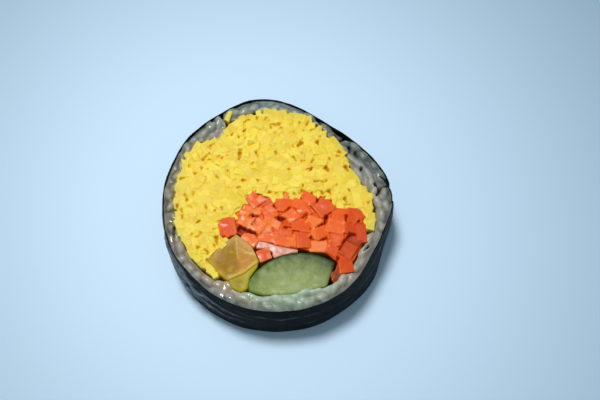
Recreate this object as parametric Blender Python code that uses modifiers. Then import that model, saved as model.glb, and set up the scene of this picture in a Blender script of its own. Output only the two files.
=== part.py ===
"""A slice of gimbap, lying on its lower cut face.

A sheet of roasted seaweed is rolled round a thin bed of rice, so that its inner end lies under its outer
flap. The rice holds shredded egg, a bundle of carrot sticks, pickled radish, a sliver of ham and a
cucumber strip. Every filling runs through the slice from one cut face to the other.

The slice is built round the axis of its roll, and is then moved so that the middle of its box stands on
the origin. Metres, +Z up: the cut faces are level, and the cucumber is on the -Y side.
"""

import math

import bmesh
import bpy
from mathutils import Vector, noise

MM = 0.001

# The roll
ROLL_RADIUS = 25.2 * MM
SLICE_HEIGHT = 12.0 * MM  # from one cut face to the other
GAP = 0.3 * MM  # between neighbouring pieces

# Places where the roll is pressed flat: direction in degrees, depth, half width in degrees
FLATS = ((57, 3.4 * MM, 26), (22, 0.7 * MM, 12), (331, 1.6 * MM, 18))

# The wall leans out towards the lower face, most on one side
LEAN = 0.6 * MM
LEAN_MORE = 0.5 * MM
LEAN_SIDE = 235
BULGE = 0.35 * MM  # how far the wall swells at half height

# Seaweed sheet
SHEET_THICKNESS = 0.3 * MM
SHEET_STEPS = 168
SHEET_ROWS = 4
SHEET_HEIGHT = 11.8 * MM
FLAP_EDGE = 10  # degrees: where the outer end of the sheet lies
TAIL_TURN = 42  # degrees that the inner end runs on, under the flap
TAIL_DEPTH = 3.3 * MM
TAIL_DIVE = 14  # degrees in which the sheet sinks under the flap
TAIL_RISE = 1.6 * MM  # how much nearer the wall the inner end finishes
SLOT_STEPS = 40  # of the room for that end in the rice
WRINKLE = 0.12 * MM
WRINKLE_SIZE = 3 * MM

# Rice: its depth between the seaweed and the fillings, with thicker and thinner places as in FLATS
RICE_DEPTH = 2.7 * MM
RICE_PLACES = (
    (20, 3.5 * MM, 17),
    (357, 0.7 * MM, 14),
    (68, -1.3 * MM, 10),
    (132, 1.6 * MM, 8),
    (150, -0.7 * MM, 9),
    (275, 1.0 * MM, 16),
)
RICE_HEIGHT = 11.7 * MM
RICE_STEPS = 132
RICE_RIM_STEPS = 12
RICE_SQUARENESS = 0.22  # 1 is a round section, 0 a square one
GRAIN_RELIEF = 0.22 * MM
GRAIN_SIZE = 2.4 * MM

# Shredded egg: what the other fillings leave of the roll's middle
EGG_HEIGHT = 12.0 * MM
EGG_STEPS = 150
EGG_RUFFLE = 0.35 * MM
EGG_SHRED = 1.6 * MM

# Carrot sticks
CARROT_HEIGHT = 12.1 * MM
CARROT_EDGE = 0.25 * MM
CARROT_OUTLINE_MM = (
    (-12.8, -5.4), (-11.5, -3.8), (-9.4, -3.4), (-6.2, 1.6), (-5.1, 2.4), (-1.6, -0.1), (2.2, 0.6),
    (4.6, 0.8), (5.9, 2.5), (8.7, 0.8), (10.2, 1.4), (12.4, -1.3), (16.0, -1.8), (18.5, -3.4),
    (19.2, -6.8), (18.3, -9.6), (16.7, -12.8), (15.2, -15.2), (12.9, -17.6), (11.3, -18.2),
    (12.8, -14.1), (10.4, -12.1), (4.8, -11.1), (0.1, -10.2), (-4.6, -8.4), (-5.2, -10.2),
    (-8.7, -7.5), (-11.9, -9.4),
)
LONE_STICK_OUTLINE_MM = (
    (-4.2, -11.4), (-2.8, -11.3), (-1.6, -12.1), (-1.2, -13.0), (-2.2, -13.7), (-3.6, -14.3),
)

# Pickled radish: a squared strip, and a wedge beside it
RADISH_HEIGHT = 12.2 * MM
RADISH_EDGE = 0.5 * MM
RADISH_OUTLINE_MM = (
    (-8.8, -8.0), (-4.7, -11.3), (-3.9, -14.1), (-5.2, -15.7), (-9.8, -17.5), (-12.6, -16.8),
    (-14.9, -13.8), (-12.4, -10.7),
)
WEDGE_HEIGHT = 11.6 * MM
WEDGE_EDGE = 0.2 * MM
WEDGE_OUTLINE_MM = ((-10.2, -17.9), (-5.2, -16.1), (-6.6, -18.0), (-6.8, -20.0), (-8.0, -20.8), (-11.0, -19.0))

# Cucumber: a strip from the outside of a cucumber, with its seeds cut away
CUCUMBER_RADIUS = 13.0 * MM
CUCUMBER_AXIS = (5.0 * MM, -25.0 * MM)
CUCUMBER_SKIN_FROM = 151  # degrees round the cucumber's axis
CUCUMBER_SKIN_TO = 56
CUCUMBER_SKIN_STEPS = 26
CUCUMBER_HEIGHT = 11.9 * MM
CUCUMBER_EDGE = 0.25 * MM
CUCUMBER_SEED_SIDE_MM = ((10.4, -19.4), (8.0, -20.3), (4.0, -21.2), (0.0, -21.5), (-3.0, -21.4), (-6.0, -20.7))

# Ham: a thin curved sliver between the carrot and the cucumber
HAM_HEIGHT = 11.8 * MM
HAM_EDGE = 0.12 * MM
HAM_OUTLINE_MM = (
    (-4.4, -8.9), (-2.0, -9.9), (0.0, -10.6), (2.2, -10.9), (4.2, -11.4), (4.1, -11.7), (2.8, -11.8),
    (1.0, -12.2), (-0.4, -12.6), (-1.2, -11.7), (-2.5, -11.0), (-4.4, -11.0),
)

CUTTER_EXTRA = 5 * MM
EXACT_ENOUGH = 1e-6
FLAT_ANGLE = math.radians(0.5)


# Scene and materials


def clear_scene():
    for thing in list(bpy.data.objects):
        bpy.data.objects.remove(thing)


def new_collection(name):
    collection = bpy.data.collections.new(name)
    bpy.context.scene.collection.children.link(collection)
    return collection


def food_material(name, colour, roughness):
    material = bpy.data.materials.new(name)
    material.use_nodes = True
    shader = material.node_tree.nodes["Principled BSDF"]
    shader.inputs["Base Color"].default_value = (*colour, 1.0)
    shader.inputs["Roughness"].default_value = roughness
    shader.inputs["Metallic"].default_value = 0.0
    material.diffuse_color = (*colour, 1.0)
    return material


def add_object(name, mesh_builder, collection):
    """A new object whose mesh is what mesh_builder, a bmesh, holds."""
    mesh = bpy.data.meshes.new(name)
    bmesh.ops.recalc_face_normals(mesh_builder, faces=mesh_builder.faces)
    mesh_builder.to_mesh(mesh)
    mesh_builder.free()
    thing = bpy.data.objects.new(name, mesh)
    collection.objects.link(thing)
    return thing


def take_primitive(name, collection):
    """Names the primitive that was just added, and moves it to this collection."""
    thing = bpy.context.object
    thing.name = name
    thing.data.name = name
    for holder in list(thing.users_collection):
        holder.objects.unlink(thing)
    collection.objects.link(thing)
    return thing


def finish(thing, material):
    thing.data.materials.append(material)
    thing.data.shade_smooth()
    thing.data.set_sharp_from_angle(angle=math.radians(40))


# The roll's outline


def bump(degrees, middle, half_width):
    """1 at the middle direction, falling smoothly to 0 on both sides of it."""
    turn = (degrees - middle + 180) % 360 - 180
    return math.exp(-((turn / half_width) ** 2))


def roll_radius(degrees):
    return ROLL_RADIUS - sum(depth * bump(degrees, at, width) for at, depth, width in FLATS)


def rice_depth(degrees):
    return RICE_DEPTH + sum(depth * bump(degrees, at, width) for at, depth, width in RICE_PLACES)


def filling_radius(degrees):
    return roll_radius(degrees) - rice_depth(degrees)


def wall_offset(degrees, height):
    """How far the wall stands out from the roll's outline at this height."""
    share = height / SLICE_HEIGHT
    lean = LEAN + LEAN_MORE * math.cos(math.radians(degrees - LEAN_SIDE))
    return lean * (1 - share) + BULGE * math.sin(math.pi * share)


def at_angle(degrees, radius, height=0.0):
    angle = math.radians(degrees)
    return Vector((radius * math.cos(angle), radius * math.sin(angle), height))


# Seaweed


def smooth_step(share):
    share = min(max(share, 0.0), 1.0)
    return share * share * (3 - 2 * share)


def sheet_depth(turned):
    """How far the sheet lies under the roll's outer surface, after this many degrees from its flap."""
    past_flap = turned - 360
    under_flap = SHEET_THICKNESS + GAP
    dive = smooth_step((past_flap + TAIL_DIVE / 2) / (TAIL_DIVE / 2)) * under_flap
    sink = smooth_step(past_flap / TAIL_DIVE) * (TAIL_DEPTH - under_flap)
    rise = smooth_step((past_flap - TAIL_DIVE) / (TAIL_TURN - TAIL_DIVE)) * TAIL_RISE
    return dive + sink - rise


def sheet_point(turned, height):
    """A point of the sheet's middle surface."""
    degrees = FLAP_EDGE + turned
    wrinkle = WRINKLE * noise.noise(at_angle(degrees, ROLL_RADIUS, height) / WRINKLE_SIZE)
    outer = roll_radius(degrees) + wall_offset(degrees, height) - sheet_depth(turned) + wrinkle
    return at_angle(degrees, outer - SHEET_THICKNESS / 2, height)


def rolled_sheet(name, turns, steps, heights, thickness, collection):
    """A flat grid rolled into the sheet's spiral, then given its thickness."""
    builder = bmesh.new()
    bmesh.ops.create_grid(builder, x_segments=steps, y_segments=SHEET_ROWS, size=0.5)
    for vertex in builder.verts:
        along, up = vertex.co.x + 0.5, vertex.co.y + 0.5
        turned = turns[0] + (turns[1] - turns[0]) * along
        vertex.co = sheet_point(turned, heights[0] + (heights[1] - heights[0]) * up)
    sheet = add_object(name, builder, collection)
    solidify = sheet.modifiers.new("thickness", "SOLIDIFY")
    solidify.thickness = thickness
    solidify.offset = 0
    return sheet


def make_seaweed(collection):
    turns = (0, 360 + TAIL_TURN)
    sheet = rolled_sheet("seaweed_sheet", turns, SHEET_STEPS, (0, SHEET_HEIGHT), SHEET_THICKNESS, collection)
    finish(sheet, food_material("roasted seaweed", (0.013, 0.02, 0.021), 0.45))
    return sheet


def tail_slot(collection):
    """The room that the sheet's inner end takes in the rice, with a gap on both sides of it."""
    turns = (360 - TAIL_DIVE, 360 + TAIL_TURN + math.degrees(GAP / ROLL_RADIUS))
    heights = (-CUTTER_EXTRA, SLICE_HEIGHT + CUTTER_EXTRA)
    slot = rolled_sheet("tail_slot", turns, SLOT_STEPS, heights, SHEET_THICKNESS + 2 * GAP, collection)
    hide_helper(slot)
    return slot


# Rice


def make_rice(collection, slot):
    """A ring whose squared section fills the room between the seaweed and the fillings."""
    bpy.ops.mesh.primitive_torus_add(
        major_segments=RICE_STEPS, minor_segments=RICE_RIM_STEPS,
        major_radius=ROLL_RADIUS, minor_radius=RICE_DEPTH,
    )
    rice = take_primitive("rice_bed", collection)
    for vertex in rice.data.vertices:
        from_axis = math.hypot(vertex.co.x, vertex.co.y)
        degrees = math.degrees(math.atan2(vertex.co.y, vertex.co.x)) % 360
        vertex.co = rice_point(degrees, math.atan2(vertex.co.z, from_axis - ROLL_RADIUS))
    cut_with(rice, slot)
    apply_modifiers(rice)
    keep_largest_piece(rice)
    finish(rice, food_material("cooked rice", (0.52, 0.53, 0.44), 0.35))
    return rice


def squared(value):
    return math.copysign(abs(value) ** RICE_SQUARENESS, value)


def rice_point(degrees, turn):
    """A point of the ring: turn goes round its section, in radians, from the outer side over the top."""
    height = RICE_HEIGHT * (0.5 + 0.5 * squared(math.sin(turn)))
    outer = roll_radius(degrees) + wall_offset(degrees, height) - SHEET_THICKNESS - WRINKLE - GAP
    inner = filling_radius(degrees) + GAP
    across = 0.5 + 0.5 * squared(math.cos(turn))
    place = at_angle(degrees, inner + (outer - inner) * across, height)
    on_top = smooth_step((height - RICE_HEIGHT / 2) / (RICE_HEIGHT / 2))
    place.z -= GRAIN_RELIEF * on_top * (1 + noise.noise(place / GRAIN_SIZE))
    return place


# Fillings


def in_metres(points_mm):
    return [(x * MM, y * MM) for x, y in points_mm]


def grown(outline, distance):
    """The closed outline moved out by this distance, at right angles to it."""
    area = sum(a[0] * b[1] - b[0] * a[1] for a, b in zip(outline, outline[1:] + outline[:1]))
    side = math.copysign(distance, area)
    points = []
    for index, (x, y) in enumerate(outline):
        before, after = Vector(outline[index - 1]), Vector(outline[(index + 1) % len(outline)])
        here = Vector((x, y))
        first, second = (here - before).normalized(), (after - here).normalized()
        normals = Vector((first.y, -first.x)), Vector((second.y, -second.x))
        middle = (normals[0] + normals[1]).normalized()
        moved = here + middle * side / max(middle.dot(normals[0]), 0.5)
        points.append((moved.x, moved.y))
    return points


def prism(name, outline, low, high, collection):
    """A filled outline carried up from one height to another."""
    curve = bpy.data.curves.new(name, "CURVE")
    curve.dimensions = "2D"
    curve.fill_mode = "BOTH"
    curve.extrude = (high - low) / 2
    spline = curve.splines.new("POLY")
    spline.points.add(len(outline) - 1)
    for point, (x, y) in zip(spline.points, outline):
        point.co = (x, y, 0, 1)
    spline.use_cyclic_u = True
    flat = bpy.data.objects.new(name, curve)
    collection.objects.link(flat)

    bpy.context.view_layer.update()
    graph = bpy.context.evaluated_depsgraph_get()
    builder = bmesh.new()
    builder.from_mesh(bpy.data.meshes.new_from_object(flat.evaluated_get(graph)))
    bpy.data.objects.remove(flat)
    bmesh.ops.remove_doubles(builder, verts=builder.verts, dist=EXACT_ENOUGH)
    bmesh.ops.dissolve_limit(builder, angle_limit=FLAT_ANGLE, verts=builder.verts, edges=builder.edges)
    bmesh.ops.translate(builder, verts=builder.verts, vec=(0, 0, (low + high) / 2))
    return add_object(name, builder, collection)


def strip(name, outline, height, edge, collection, material):
    """A filling cut through with the roll, with softened edges."""
    piece = prism(name, outline, 0.0, height, collection)
    bevel = piece.modifiers.new("edges", "BEVEL")
    bevel.width = edge
    bevel.segments = 2
    bevel.limit_method = "ANGLE"
    bevel.angle_limit = math.radians(25)
    finish(piece, material)
    return piece


def cucumber_outline():
    points = []
    for step in range(CUCUMBER_SKIN_STEPS + 1):
        share = step / CUCUMBER_SKIN_STEPS
        angle = math.radians(CUCUMBER_SKIN_FROM + (CUCUMBER_SKIN_TO - CUCUMBER_SKIN_FROM) * share)
        points.append((
            CUCUMBER_AXIS[0] + CUCUMBER_RADIUS * math.cos(angle),
            CUCUMBER_AXIS[1] + CUCUMBER_RADIUS * math.sin(angle),
        ))
    return points + in_metres(CUCUMBER_SEED_SIDE_MM)


def egg_outline():
    points = []
    for step in range(EGG_STEPS):
        degrees = 360 * step / EGG_STEPS
        place = at_angle(degrees, filling_radius(degrees))
        ruffle = EGG_RUFFLE * (noise.noise(place / EGG_SHRED) - 1) / 2
        edge = at_angle(degrees, filling_radius(degrees) + ruffle)
        points.append((edge.x, edge.y))
    return points


def make_egg(collection, helpers, neighbours):
    """The roll's middle, with the room of the other fillings cut out of it."""
    egg = prism("egg_shreds", egg_outline(), 0.0, EGG_HEIGHT, collection)
    for name, outline in neighbours.items():
        room = prism(f"{name}_room", grown(outline, GAP), -CUTTER_EXTRA, EGG_HEIGHT + CUTTER_EXTRA, helpers)
        hide_helper(room)
        cut_with(egg, room)
    apply_modifiers(egg)
    keep_largest_piece(egg)
    finish(egg, food_material("shredded egg", (0.86, 0.62, 0.08), 0.5))
    return egg


# Shared steps


def hide_helper(thing):
    thing.hide_render = True
    thing.display_type = "WIRE"


def cut_with(thing, cutter):
    boolean = thing.modifiers.new(f"cut by {cutter.name}", "BOOLEAN")
    boolean.operation = "DIFFERENCE"
    boolean.solver = "EXACT"
    boolean.object = cutter


def apply_modifiers(thing):
    graph = bpy.context.evaluated_depsgraph_get()
    mesh = bpy.data.meshes.new_from_object(thing.evaluated_get(graph))
    thing.modifiers.clear()
    thing.data = mesh


def keep_largest_piece(thing):
    """Removes the crumbs that a cut leaves beside the piece itself."""
    builder = bmesh.new()
    builder.from_mesh(thing.data)
    bmesh.ops.remove_doubles(builder, verts=builder.verts, dist=EXACT_ENOUGH)
    unseen = set(builder.verts)
    pieces = []
    while unseen:
        found, waiting = set(), [unseen.pop()]
        while waiting:
            vertex = waiting.pop()
            found.add(vertex)
            near = {edge.other_vert(vertex) for edge in vertex.link_edges} & unseen
            unseen -= near
            waiting.extend(near)
        pieces.append(found)
    largest = max(pieces, key=len)
    crumbs = [vertex for vertex in builder.verts if vertex not in largest]
    bmesh.ops.delete(builder, geom=crumbs, context="VERTS")
    builder.to_mesh(thing.data)
    builder.free()


def centre_on_origin(things):
    """Moves the meshes so that the middle of their box is over the origin and its floor is at z 0."""
    bpy.context.view_layer.update()
    graph = bpy.context.evaluated_depsgraph_get()
    corners = [Vector(corner) for thing in things for corner in thing.evaluated_get(graph).bound_box]
    low = Vector(min(corner[axis] for corner in corners) for axis in range(3))
    high = Vector(max(corner[axis] for corner in corners) for axis in range(3))
    for thing in things:
        thing.location = (-(low.x + high.x) / 2, -(low.y + high.y) / 2, -low.z)


def main():
    clear_scene()
    gimbap = new_collection("gimbap slice")
    helpers = new_collection("helpers")

    seaweed = make_seaweed(gimbap)
    rice = make_rice(gimbap, tail_slot(helpers))

    outlines = {
        "carrot_sticks": in_metres(CARROT_OUTLINE_MM),
        "carrot_stick_lone": in_metres(LONE_STICK_OUTLINE_MM),
        "radish_strip": in_metres(RADISH_OUTLINE_MM),
        "radish_wedge": in_metres(WEDGE_OUTLINE_MM),
        "cucumber_strip": cucumber_outline(),
        "ham_sliver": in_metres(HAM_OUTLINE_MM),
    }
    carrot = food_material("carrot", (0.75, 0.13, 0.025), 0.4)
    radish = food_material("pickled radish", (0.52, 0.27, 0.03), 0.25)
    cucumber = food_material("cucumber", (0.27, 0.36, 0.14), 0.3)
    ham = food_material("ham", (0.62, 0.2, 0.14), 0.35)
    strips = [
        strip(name, outlines[name], height, edge, gimbap, material)
        for name, height, edge, material in (
            ("carrot_sticks", CARROT_HEIGHT, CARROT_EDGE, carrot),
            ("carrot_stick_lone", CARROT_HEIGHT, CARROT_EDGE, carrot),
            ("radish_strip", RADISH_HEIGHT, RADISH_EDGE, radish),
            ("radish_wedge", WEDGE_HEIGHT, WEDGE_EDGE, radish),
            ("cucumber_strip", CUCUMBER_HEIGHT, CUCUMBER_EDGE, cucumber),
            ("ham_sliver", HAM_HEIGHT, HAM_EDGE, ham),
        )
    ]
    egg = make_egg(gimbap, helpers, outlines)
    centre_on_origin([seaweed, rice, egg, *strips])


main()
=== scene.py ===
import math
import random

import bmesh
import bpy
import numpy
from mathutils import Matrix, Vector, noise
from mathutils.bvhtree import BVHTree


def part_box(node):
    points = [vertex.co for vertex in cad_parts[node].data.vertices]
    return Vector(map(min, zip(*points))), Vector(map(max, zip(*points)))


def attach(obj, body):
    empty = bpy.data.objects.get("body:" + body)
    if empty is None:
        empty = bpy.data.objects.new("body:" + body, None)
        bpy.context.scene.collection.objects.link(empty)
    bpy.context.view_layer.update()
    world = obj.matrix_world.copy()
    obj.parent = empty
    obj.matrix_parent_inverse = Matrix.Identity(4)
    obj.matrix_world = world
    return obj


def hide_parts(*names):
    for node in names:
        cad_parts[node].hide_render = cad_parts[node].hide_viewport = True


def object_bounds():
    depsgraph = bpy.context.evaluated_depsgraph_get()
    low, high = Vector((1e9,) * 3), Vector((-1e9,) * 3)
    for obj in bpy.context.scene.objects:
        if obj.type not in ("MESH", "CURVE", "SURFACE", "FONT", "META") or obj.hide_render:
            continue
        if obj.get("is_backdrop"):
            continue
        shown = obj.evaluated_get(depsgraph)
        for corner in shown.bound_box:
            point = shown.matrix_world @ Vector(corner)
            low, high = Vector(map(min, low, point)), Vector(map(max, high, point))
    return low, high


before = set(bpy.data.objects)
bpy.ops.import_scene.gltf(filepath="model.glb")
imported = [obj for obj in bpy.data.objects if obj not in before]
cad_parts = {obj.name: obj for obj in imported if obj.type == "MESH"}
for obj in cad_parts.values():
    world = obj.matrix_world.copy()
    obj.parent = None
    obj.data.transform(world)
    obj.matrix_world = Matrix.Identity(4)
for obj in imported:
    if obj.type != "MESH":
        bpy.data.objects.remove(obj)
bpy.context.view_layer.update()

# A slice of gimbap, lying on its lower cut face. It is put together as the cook rolls it: the seaweed,
# the rice, the egg, then the sticks and strips that lie in it. All sizes are in metres, most by way of MM.

# The seaweed: one roasted sheet, rolled one full turn and a bit, so that its inner end lies in the rice
# under the flap. It is paper thin, dented by the rice behind it, and creased by the hand that rolled it.
MM = 0.001
ROLL_RADIUS = 25.2 * MM
SLICE_HEIGHT = 12.0 * MM
# Where the roll is pressed flat: the direction in degrees, the depth, and half the width in degrees
FLATS = (
    (57, 3.4 * MM, 26), (36, 0.85 * MM, 11), (22, 0.7 * MM, 12), (331, 1.6 * MM, 18), (348, 0.5 * MM, 9),
    (101, -0.5 * MM, 12),
)
# The wall leans out towards the lower face, most on one side, and swells at half its height
LEAN = 0.6 * MM
LEAN_MORE = 0.5 * MM
LEAN_SIDE = 235
LEAN_HERE = ((186, -1.15 * MM, 24), (326, 1.2 * MM, 13))
BULGE = 0.35 * MM
SHEET_THICKNESS = 0.22 * MM
SHEET_HEIGHT = 11.6 * MM
RAGGED_EDGE = 0.3 * MM
SHEET_COLUMNS = 760
SHEET_ROWS = 46
# Where the flap's edge lies, and how the sheet lies flat before it, dives in under it within so many
# degrees, runs on past it and comes nearer the wall again, all the while lower than the cut
FLAP_EDGE = 10
FLAT_BEFORE_FLAP = 10
TAIL_DIVE = 14
TAIL_TURN = 42
TAIL_DEPTH = 3.3 * MM
TAIL_RISE = 1.6 * MM
TAIL_SINK = 1.0 * MM
TAIL_SINK_START = 4
TAIL_SINK_LENGTH = 8
GAP = 0.3 * MM
# For so many degrees past the flap's edge, the rice keeps inside the sheet that is tucked under it
TUCKED = 3

# Creases: the height of each on the wall in mm, its fall per degree, the degrees of its middle and
# half its length, and how far it stands out in mm
CREASES = (
    (10.6, 0.025, 210, 15, 0.30), (9.6, 0.060, 214, 20, 0.42), (8.3, 0.075, 216, 20, 0.46),
    (7.0, 0.085, 218, 18, 0.40), (5.6, 0.080, 216, 18, 0.44), (4.1, 0.070, 215, 17, 0.36),
    (2.6, 0.050, 213, 15, 0.28), (7.9, 0.040, 240, 15, 0.22), (5.0, 0.045, 241, 14, 0.20),
    (6.4, 0.012, 320, 24, 0.12), (9.3, -0.010, 338, 18, 0.14), (4.0, 0.006, 300, 26, 0.10),
    (8.6, 0.015, 272, 20, 0.14),
)
# How far a crease fades out above and below its line, and the lengths in degrees over which it wavers
# and breaks up. Its ridge gets a painted highlight, a pale blue grey, and its gloss. Both are full where it
# stands out by the full height, and fade with this power
CREASE_ABOVE_MM = 0.55
CREASE_BELOW_MM = 0.26
CREASE_WAVE = 7.5
CREASE_BREAKS = 4.5
RIDGE_FULL_MM = 0.36
RIDGE_FADE = 1.7
# The rest of the sheet's unevenness, as dents, flat stretches and grain: the depth of each, its length
# along the sheet and its height, in mm, and a number that sets it apart
DENTS = ((0.10, 4.2, 4.4, 3.1), (0.26, 8, 30, 9.7), (0.012, 1.1, 0.9, 7.7))

# The roll's axis, worked out from where the cucumber's skin and the ham's tip lie beside it
AXIS = Vector((
    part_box("ham_sliver")[1].x - 4.2 * MM,
    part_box("cucumber_strip")[1].y + 12.0 * MM,
    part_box("egg_shreds")[0].z,
))


def bump_at(degrees, middle, half_width):
    turn = (degrees - middle + 180) % 360 - 180
    return math.exp(-((turn / half_width) ** 2))


def smooth_step(share):
    share = min(max(share, 0.0), 1.0)
    return share * share * (3 - 2 * share)


def roll_radius(degrees):
    return ROLL_RADIUS - sum(depth * bump_at(degrees, at, width) for at, depth, width in FLATS)


def wall_offset(degrees, height):
    share = height / SLICE_HEIGHT
    lean = LEAN + LEAN_MORE * math.cos(math.radians(degrees - LEAN_SIDE))
    lean += sum(more * bump_at(degrees, at, width) for at, more, width in LEAN_HERE)
    return lean * (1 - share) + BULGE * math.sin(math.pi * min(share, 1))


def around(degrees, radius, height=0.0):
    angle = math.radians(degrees)
    return AXIS + Vector((radius * math.cos(angle), radius * math.sin(angle), height))


def sheet_depth(turned):
    past_flap = turned - 360
    under_flap = SHEET_THICKNESS + GAP
    dive = smooth_step((past_flap + TAIL_DIVE / 2) / (TAIL_DIVE / 2)) * under_flap
    sink = smooth_step(past_flap / TAIL_DIVE) * (TAIL_DEPTH - under_flap)
    rise = smooth_step((past_flap - TAIL_DIVE) / (TAIL_TURN - TAIL_DIVE)) * TAIL_RISE
    return dive + sink - rise


def crease_height(degrees, height):
    """How far all the creases together stand out here, in mm."""
    total = 0.0
    for at_height, fall, middle, half_length, depth in CREASES:
        along = bump_at(degrees, middle, half_length)
        if along < 0.02:
            continue
        waver = noise.noise(Vector((degrees / CREASE_WAVE, middle, at_height)))
        broken = 1.1 + 1.3 * noise.noise(Vector((degrees / CREASE_BREAKS, at_height, middle)))
        away = height / MM - (at_height - fall * (degrees - middle) + waver)
        width = CREASE_ABOVE_MM if away > 0 else CREASE_BELOW_MM
        total += depth * along * max(broken, 0.2) * math.exp(-((away / width) ** 2))
    return total


def crinkle(degrees, height):
    """How far the sheet stands out from its smooth roll, in mm: dents and creases."""
    along = math.radians(degrees) * ROLL_RADIUS
    total = 0.0
    for depth, length, tall, apart in DENTS:
        total += depth * noise.noise(Vector((along / (length * MM), height / (tall * MM), apart)))
    return total + crease_height(degrees, height)


def in_the_open(turned):
    """1 along the open wall, falling to 0 where the sheet lies flat before the flap."""
    return 1 - smooth_step((turned - 360 + FLAT_BEFORE_FLAP) / FLAT_BEFORE_FLAP)


def sheet_radius(turned, height):
    """How far out the sheet's outer face lies, this many degrees along it from the flap's edge."""
    degrees = FLAP_EDGE + turned
    swell = wall_offset(degrees, height) + crinkle(degrees % 360, height) * in_the_open(turned) * MM
    return roll_radius(degrees) + swell - sheet_depth(turned)


def wrap_inside(degrees, height):
    """How far out the rice can reach, up to the sheet, which is tucked in under the flap's edge."""
    turned = (degrees - FLAP_EDGE - TUCKED) % 360 + TUCKED
    return sheet_radius(turned, height) - SHEET_THICKNESS


def pick(*things):
    """Selects only these objects, with the first as the active one."""
    bpy.ops.object.select_all(action="DESELECT")
    for thing in things:
        thing.select_set(True)
    bpy.context.view_layer.objects.active = things[0]


def named_primitive(name):
    thing = bpy.context.object
    thing.name = name
    thing.data.name = name
    return thing


def apply_all(thing):
    pick(thing)
    for modifier in list(thing.modifiers):
        bpy.ops.object.modifier_apply(modifier=modifier.name)


def spread_values(thing, name, values):
    """A number for each point of a piece, which its material reads as an attribute."""
    thing.data.attributes.new(name, "FLOAT", "POINT").data.foreach_set("value", values)


bpy.ops.object.select_all(action="DESELECT")
bpy.ops.mesh.primitive_grid_add(x_subdivisions=SHEET_COLUMNS, y_subdivisions=SHEET_ROWS, size=1)
seaweed = named_primitive("seaweed_wrap")
ridges = []
for vertex in seaweed.data.vertices:
    along, up = vertex.co.x + 0.5, vertex.co.y + 0.5
    turned = along * (360 + TAIL_TURN)
    degrees = FLAP_EDGE + turned
    edge = Vector((math.radians(turned) * 9, up * 0.4, 2.0))
    full_height = SHEET_HEIGHT + RAGGED_EDGE * noise.noise(edge)
    sunk = smooth_step((turned - 360 - TAIL_SINK_START) / TAIL_SINK_LENGTH)
    height = up * (full_height - TAIL_SINK * sunk)
    vertex.co = around(degrees, sheet_radius(turned, height) - SHEET_THICKNESS / 2, height)
    ridge = crease_height(degrees % 360, height) * in_the_open(turned) / RIDGE_FULL_MM
    ridges.append(min(ridge, 1) ** RIDGE_FADE)
spread_values(seaweed, "ridge", ridges)
pick(seaweed)
bpy.ops.object.mode_set(mode="EDIT")
bpy.ops.mesh.select_all(action="SELECT")
bpy.ops.mesh.normals_make_consistent(inside=False)
bpy.ops.object.mode_set(mode="OBJECT")
skin = seaweed.modifiers.new("paper thickness", "SOLIDIFY")
skin.thickness = SHEET_THICKNESS
skin.offset = 0
apply_all(seaweed)
bpy.ops.object.shade_smooth_by_angle(angle=math.radians(50))


def new_material(name):
    """A material and its shader."""
    material = bpy.data.materials.new(name)
    material.use_nodes = True
    return material, material.node_tree.nodes["Principled BSDF"]


def add_node(tree, kind, **values):
    node = tree.nodes.new(kind)
    for key, value in values.items():
        setattr(node, key, value)
    return node


def new_group(name, inputs, outputs):
    """An empty shader group with its sockets, and its input and output nodes."""
    group = bpy.data.node_groups.new(name, "ShaderNodeTree")
    for label, kind, value in inputs:
        group.interface.new_socket(label, in_out="INPUT", socket_type=kind).default_value = value
    for label in outputs:
        group.interface.new_socket(label, in_out="OUTPUT", socket_type="NodeSocketFloat")
    return group, add_node(group, "NodeGroupInput"), add_node(group, "NodeGroupOutput")


def noise_in(group, entry, size, stretch):
    """A noise on Object coordinates inside a group, its size in millimetres."""
    place = add_node(group, "ShaderNodeTexCoord")
    stretched = add_node(group, "ShaderNodeVectorMath", operation="MULTIPLY")
    group.links.new(place.outputs["Object"], stretched.inputs[0])
    group.links.new(entry.outputs[stretch], stretched.inputs[1])
    scale = add_node(group, "ShaderNodeMath", operation="DIVIDE")
    scale.inputs[0].default_value = 1 / MM
    group.links.new(entry.outputs[size], scale.inputs[1])
    texture = add_node(group, "ShaderNodeTexNoise")
    texture.inputs["Detail"].default_value = 3
    group.links.new(stretched.outputs[0], texture.inputs["Vector"])
    group.links.new(scale.outputs[0], texture.inputs["Scale"])
    return texture.outputs["Fac"]


def range_in(group, source, low, high, to_low=None, to_high=None):
    """A value read between two group inputs or numbers, and given out between two others."""
    spread = add_node(group, "ShaderNodeMapRange")
    group.links.new(source, spread.inputs["Value"])
    for label, value in (("From Min", low), ("From Max", high), ("To Min", to_low), ("To Max", to_high)):
        if isinstance(value, (int, float)):
            spread.inputs[label].default_value = value
        elif value is not None:
            group.links.new(value, spread.inputs[label])
    return spread.outputs["Result"]


# Patches: the unevenness that every food here has, as a mask with soft or hard borders
PATCHES, entry, leave = new_group(
    "patches",
    (("Size", "NodeSocketFloat", 1.0), ("Stretch", "NodeSocketVector", (1, 1, 1)),
     ("Low", "NodeSocketFloat", 0.35), ("High", "NodeSocketFloat", 0.65)),
    ("Mask",))
patch_noise = noise_in(PATCHES, entry, "Size", "Stretch")
mask = range_in(PATCHES, patch_noise, entry.outputs["Low"], entry.outputs["High"])
PATCHES.links.new(mask, leave.inputs["Mask"])

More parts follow.
